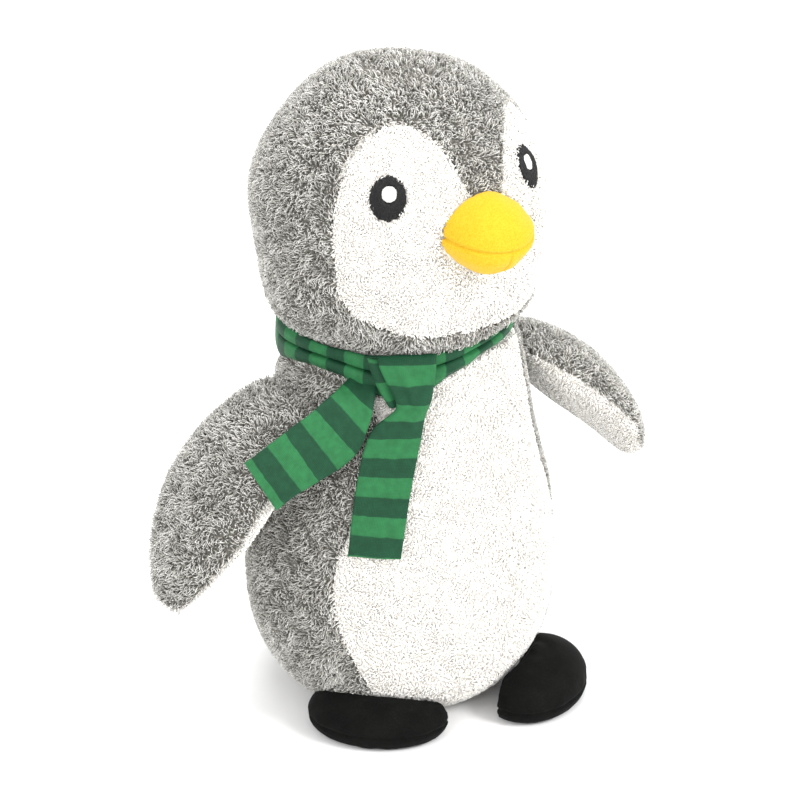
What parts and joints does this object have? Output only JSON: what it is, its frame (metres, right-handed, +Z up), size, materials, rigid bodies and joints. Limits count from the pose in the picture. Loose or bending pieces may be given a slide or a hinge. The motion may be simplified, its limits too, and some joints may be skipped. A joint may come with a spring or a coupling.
{
  "type": "plush penguin",
  "caption": "Seated plush penguin with looped pile, embroidered eyes, a padded beak, soft flippers and feet, and a striped scarf knotted round its neck.",
  "frame": {"origin": "middle of the flat base, on the surface the toy stands on", "axes": "+Z up, -Y the way the penguin faces, +X the penguin's left"},
  "size_m": [0.2834, 0.1845, 0.3355],
  "materials": {
    "white_pile": "looped pile, matte",
    "grey_pile": "looped pile, matte",
    "black_thread": "satin stitch",
    "white_thread": "satin stitch",
    "beak_felt": "brushed, matte",
    "black_suede": "short nap, matte",
    "stuffing": "polyester fibre",
    "base_cloth": "brushed, matte",
    "lining": "cotton",
    "pellets": "matte",
    "label": "satin ribbon",
    "scarf_cloth": "woven, slight sheen"
  },
  "bodies": {
    "torso": {"belly_panel": "white_pile", "back_panel_left": "grey_pile", "back_panel_right": "grey_pile", "base_panel": "base_cloth", "torso_stuffing": "stuffing", "pellet_bag": "lining", "pellets": "pellets", "care_label": "label", "scarf_wrap": "scarf_cloth", "scarf_knot": "scarf_cloth"},
    "neck": {"neck_band": "grey_pile", "neck_stuffing": "stuffing"},
    "head": {"face_panel": "white_pile", "chin_gusset": "grey_pile", "crown_gusset": "grey_pile", "head_side_left": "grey_pile", "head_side_right": "grey_pile", "head_stuffing": "stuffing", "eye_left": "black_thread", "eye_right": "black_thread", "eye_glint_left": "white_thread", "eye_glint_right": "white_thread", "beak_upper": "beak_felt", "beak_lower_left": "beak_felt", "beak_lower_right": "beak_felt", "beak_stuffing": "stuffing"},
    "scarf_tail_front": {"scarf_tail_front": "scarf_cloth"},
    "scarf_tail_side": {"scarf_tail_side": "scarf_cloth"},
    "flipper_left": {"flipper_left_outer": "grey_pile", "flipper_left_inner": "white_pile", "flipper_left_stuffing": "stuffing"},
    "foot_left": {"foot_left_top": "black_suede", "foot_left_sole": "black_suede", "foot_left_stuffing": "stuffing"},
    "flipper_right": {"flipper_right_outer": "grey_pile", "flipper_right_inner": "white_pile", "flipper_right_stuffing": "stuffing"},
    "foot_right": {"foot_right_top": "black_suede", "foot_right_sole": "black_suede", "foot_right_stuffing": "stuffing"}
  },
  "joints": [
    {"name": "neck_turn", "type": "hinge", "parent": "torso", "child": "neck", "pos_m": [0, 0, 0.196], "axis": [0, 0, 1], "range_deg": [-25, 25], "stiffness_Nm_per_rad": 0.3},
    {"name": "head_nod", "type": "hinge", "parent": "neck", "child": "head", "pos_m": [0, 0, 0.264], "axis": [1, 0, 0], "range_deg": [-12, 12], "stiffness_Nm_per_rad": 0.6},
    {"name": "flipper_left_flap", "type": "hinge", "parent": "torso", "child": "flipper_left", "pos_m": [0.0618, -0.002, 0.174], "axis": [0, -1, 0], "range_deg": [-3, 60], "stiffness_Nm_per_rad": 0.4},
    {"name": "flipper_right_flap", "type": "hinge", "parent": "torso", "child": "flipper_right", "pos_m": [-0.0618, -0.002, 0.174], "axis": [0, 1, 0], "range_deg": [-3, 60], "stiffness_Nm_per_rad": 0.4},
    {"name": "foot_left_flex", "type": "hinge", "parent": "torso", "child": "foot_left", "pos_m": [0.04437, -0.05479, 0.0285], "axis": [-0.7771, -0.6293, 0], "range_deg": [0, 15], "stiffness_Nm_per_rad": 0.15},
    {"name": "foot_right_flex", "type": "hinge", "parent": "torso", "child": "foot_right", "pos_m": [-0.04808, -0.05156, 0.0285], "axis": [-0.7314, 0.682, 0], "range_deg": [0, 15], "stiffness_Nm_per_rad": 0.15},
    {"name": "front_tail_lift", "type": "hinge", "parent": "torso", "child": "scarf_tail_front", "pos_m": [-0.03497, -0.04814, 0.179], "axis": [-0.809, 0.5878, 0], "range_deg": [0, 70]},
    {"name": "side_tail_lift", "type": "hinge", "parent": "torso", "child": "scarf_tail_side", "pos_m": [-0.048, -0.0475, 0.184], "axis": [-0.4899, 0, 0.8718], "range_deg": [0, 35]}
  ]
}
